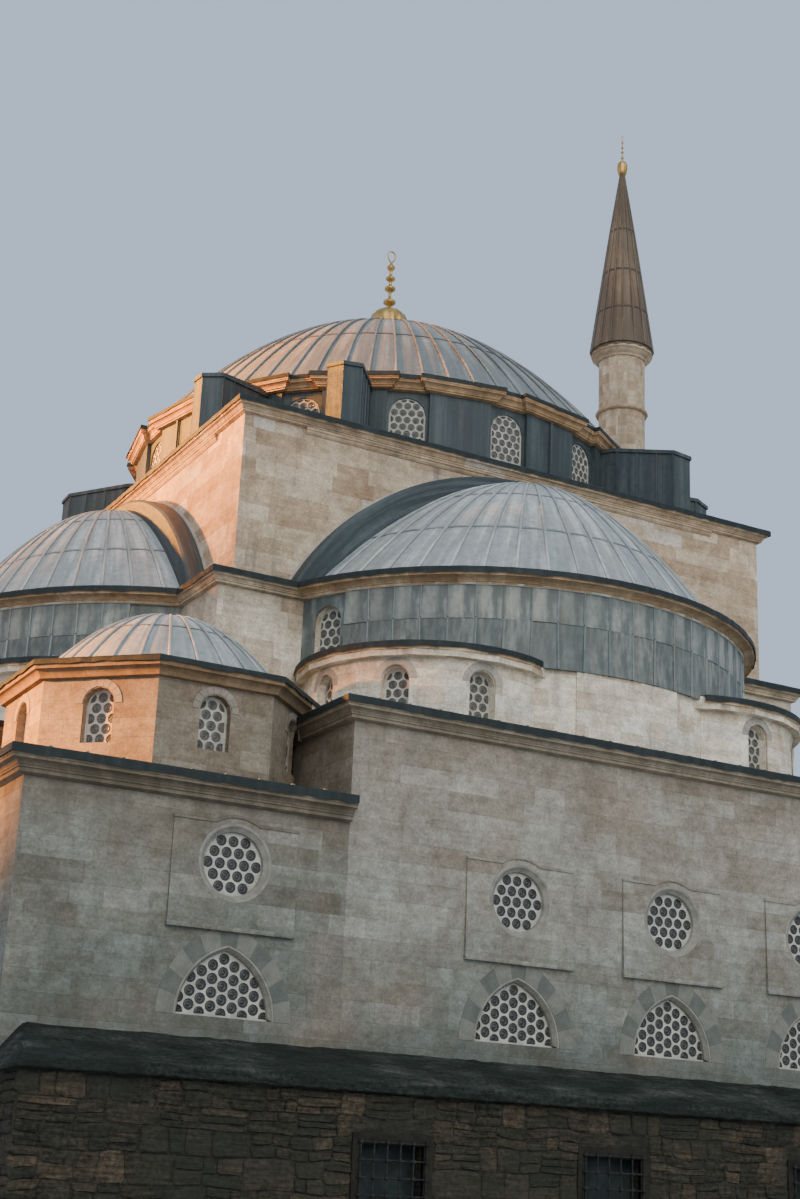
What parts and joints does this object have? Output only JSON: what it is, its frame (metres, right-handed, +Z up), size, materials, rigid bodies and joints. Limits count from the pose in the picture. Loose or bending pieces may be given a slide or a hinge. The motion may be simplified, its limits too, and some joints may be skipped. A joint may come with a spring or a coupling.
{
  "type": "mosque building",
  "caption": "Domed ashlar mosque: square hall on a rubble basement, half domes with exedrae, corner turrets, windowed drum, lead main dome and a slender minaret.",
  "frame": {"origin": "on the axis of the main dome at street level, in the underside of the basement floor", "axes": "+Z up, -Y towards the front wall that the picture shows in shade, -X towards the sunlit side"},
  "size_m": [28.2954, 27.66, 39.58],
  "materials": {
    "ashlar": "weathered limestone blocks",
    "rubble": "rough brown stones in mortar",
    "lead": "weathered lead sheet with rolled seams",
    "gilt": "dull gilding",
    "glass": "dark old glass",
    "plaster": "white gypsum lattice",
    "iron": "dark forged bars"
  },
  "bodies": {
    "root": {"basement_front_wall": "rubble", "basement_front_coping": "rubble", "basement_back_wall": "rubble", "basement_back_coping": "rubble", "basement_left_wall": "rubble", "basement_right_wall": "rubble", "basement_floor": "ashlar", "hall_floor": "ashlar", "front_wall": "ashlar", "front_windows": "glass", "right_wall": "ashlar", "right_windows": "glass", "back_wall": "ashlar", "back_windows": "glass", "left_wall": "ashlar", "left_windows": "glass", "front_centre_bay": "ashlar", "front_half_drum": "ashlar", "front_half_dome": "lead", "front_half_drum_glass": "glass", "right_centre_bay": "ashlar", "right_half_drum": "ashlar", "right_half_dome": "lead", "right_half_drum_glass": "glass", "back_centre_bay": "ashlar", "back_half_drum": "ashlar", "back_half_dome": "lead", "back_half_drum_glass": "glass", "left_centre_bay": "ashlar", "left_half_drum": "ashlar", "left_half_dome": "lead", "left_half_drum_glass": "glass", "front_left_bay_roof": "ashlar", "front_left_pier": "ashlar", "front_left_turret": "ashlar", "front_left_turret_dome": "lead", "front_right_bay_roof": "ashlar", "front_right_pier": "ashlar", "front_right_turret": "ashlar", "front_right_turret_dome": "lead", "back_right_bay_roof": "ashlar", "back_right_pier": "ashlar", "back_right_turret": "ashlar", "back_right_turret_dome": "lead", "back_left_bay_roof": "ashlar", "back_left_pier": "ashlar", "back_left_turret": "ashlar", "back_left_turret_dome": "lead", "base_block": "ashlar", "drum": "lead", "drum_cornice": "ashlar", "drum_glass": "glass", "main_dome": "lead", "dome_finial": "gilt", "minaret_base": "ashlar", "minaret_shaft": "ashlar", "minaret_balcony": "ashlar", "minaret_cap": "lead", "minaret_finial": "gilt"}
  },
  "joints": []
}
